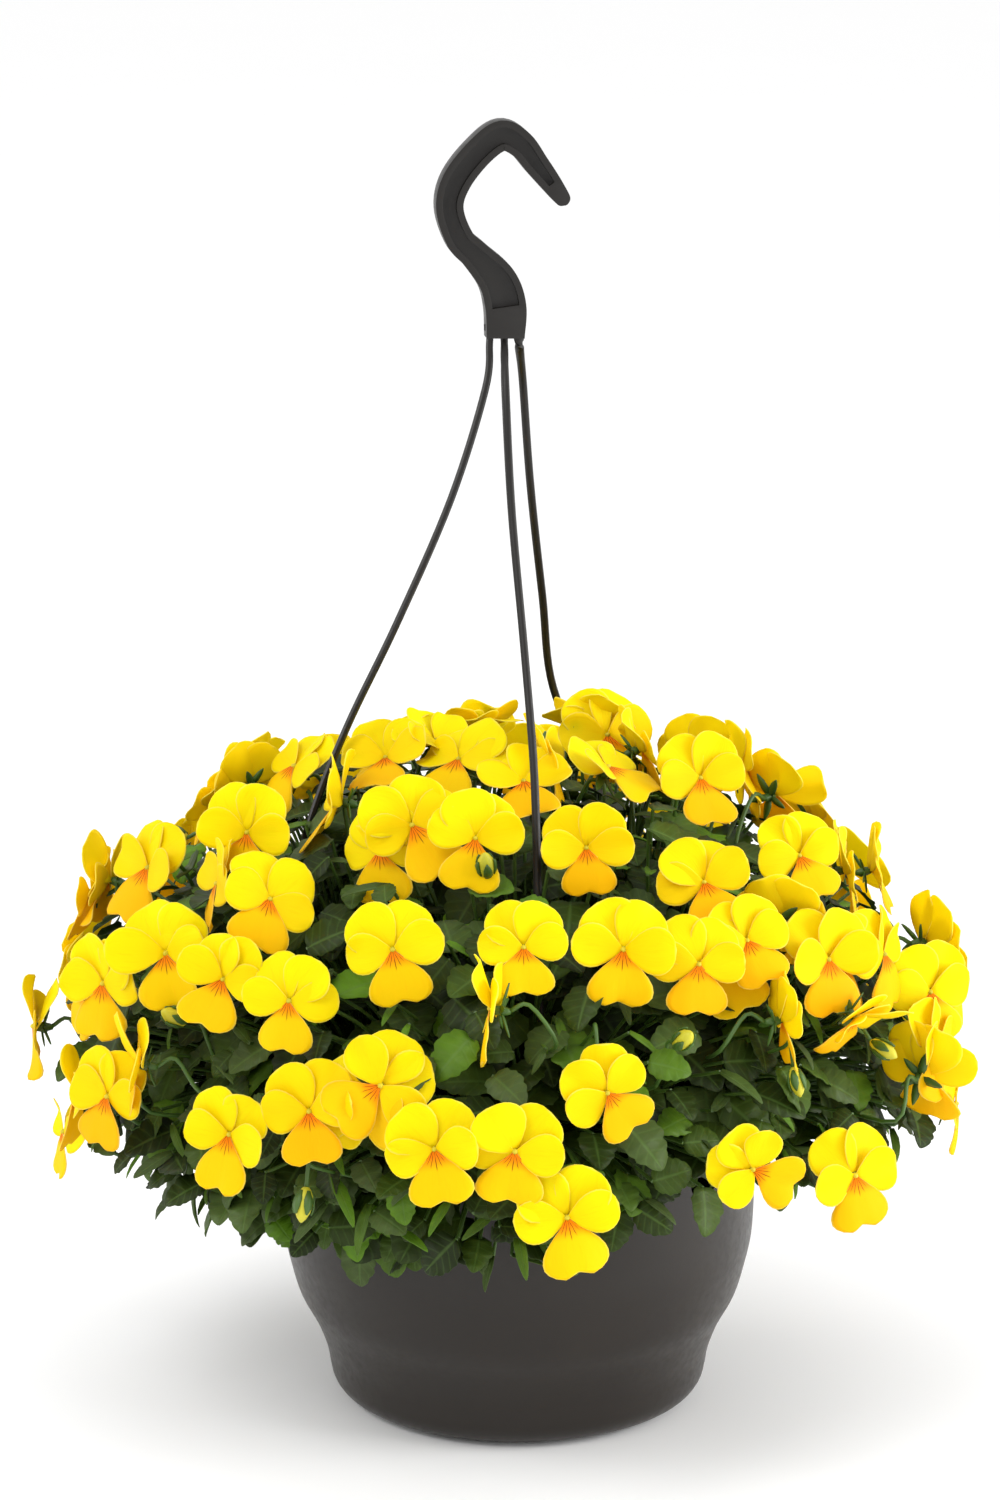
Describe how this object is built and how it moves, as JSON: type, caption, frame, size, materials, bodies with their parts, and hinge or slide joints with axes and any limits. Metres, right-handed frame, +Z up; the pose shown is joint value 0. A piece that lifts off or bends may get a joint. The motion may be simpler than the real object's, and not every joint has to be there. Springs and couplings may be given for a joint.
{
  "type": "hanging basket of violas",
  "caption": "Round moulded hanging pot on a three-legged plastic hanger with a hook, planted with a dense mound of yellow violas.",
  "frame": {"origin": "the hook's seat, on the underside of its crown, where the bracket carries the basket", "axes": "+Z up along the line the basket hangs on, +X to the right and -Y towards the front, where the hook's flat side faces"},
  "size_m": [0.4458, 0.4468, 0.6203],
  "materials": {
    "pot_plastic": "injection-moulded polypropylene, dark anthracite, satin",
    "hanger_plastic": "injection-moulded polypropylene, dark anthracite, satin",
    "potting_soil": null,
    "foliage": "living viola stems and scalloped leaves, dark green, faintly waxy; fabric stands for soft plant tissue",
    "petals": "velvety yellow petals with an orange throat and fine brown whisker lines; fabric stands for petal tissue",
    "bud_petals": "closed green and yellow viola buds; fabric stands for petal tissue"
  },
  "bodies": {
    "root": {"pot": "pot_plastic", "potting_soil": "potting_soil", "hanger": "hanger_plastic", "viola_flower_01": "petals", "viola_flower_02": "petals", "viola_flower_03": "petals", "viola_flower_04": "petals", "viola_flower_05": "petals", "viola_flower_06": "petals", "viola_flower_07": "petals", "viola_flower_08": "petals", "viola_flower_09": "petals", "viola_flower_10": "petals", "viola_flower_11": "petals", "viola_flower_12": "petals", "viola_flower_13": "petals", "viola_flower_14": "petals", "viola_flower_15": "petals", "viola_flower_16": "petals", "viola_flower_17": "petals", "viola_flower_18": "petals", "viola_flower_19": "petals", "viola_flower_20": "petals", "viola_flower_21": "petals", "viola_flower_22": "petals", "viola_flower_23": "petals", "viola_flower_24": "petals", "viola_flower_25": "petals", "viola_flower_26": "petals", "viola_flower_27": "petals", "viola_flower_28": "petals", "viola_flower_29": "petals", "viola_flower_30": "petals", "viola_flower_31": "petals", "viola_flower_32": "petals", "viola_flower_33": "petals", "viola_flower_34": "petals", "viola_flower_35": "petals", "viola_flower_36": "petals", "viola_flower_37": "petals", "viola_flower_38": "petals", "viola_flower_39": "petals", "viola_flower_40": "petals", "viola_flower_41": "petals", "viola_flower_42": "petals", "viola_flower_43": "petals", "viola_flower_44": "petals", "viola_flower_45": "petals", "viola_flower_46": "petals", "viola_flower_47": "petals", "viola_bud_1": "bud_petals", "viola_bud_2": "bud_petals", "viola_bud_3": "bud_petals", "viola_bud_4": "bud_petals", "viola_plant_1_stems_and_leaves": "foliage", "viola_plant_2_stems_and_leaves": "foliage", "viola_plant_3_stems_and_leaves": "foliage", "viola_plant_4_stems_and_leaves": "foliage", "viola_plant_5_stems_and_leaves": "foliage"}
  },
  "joints": []
}
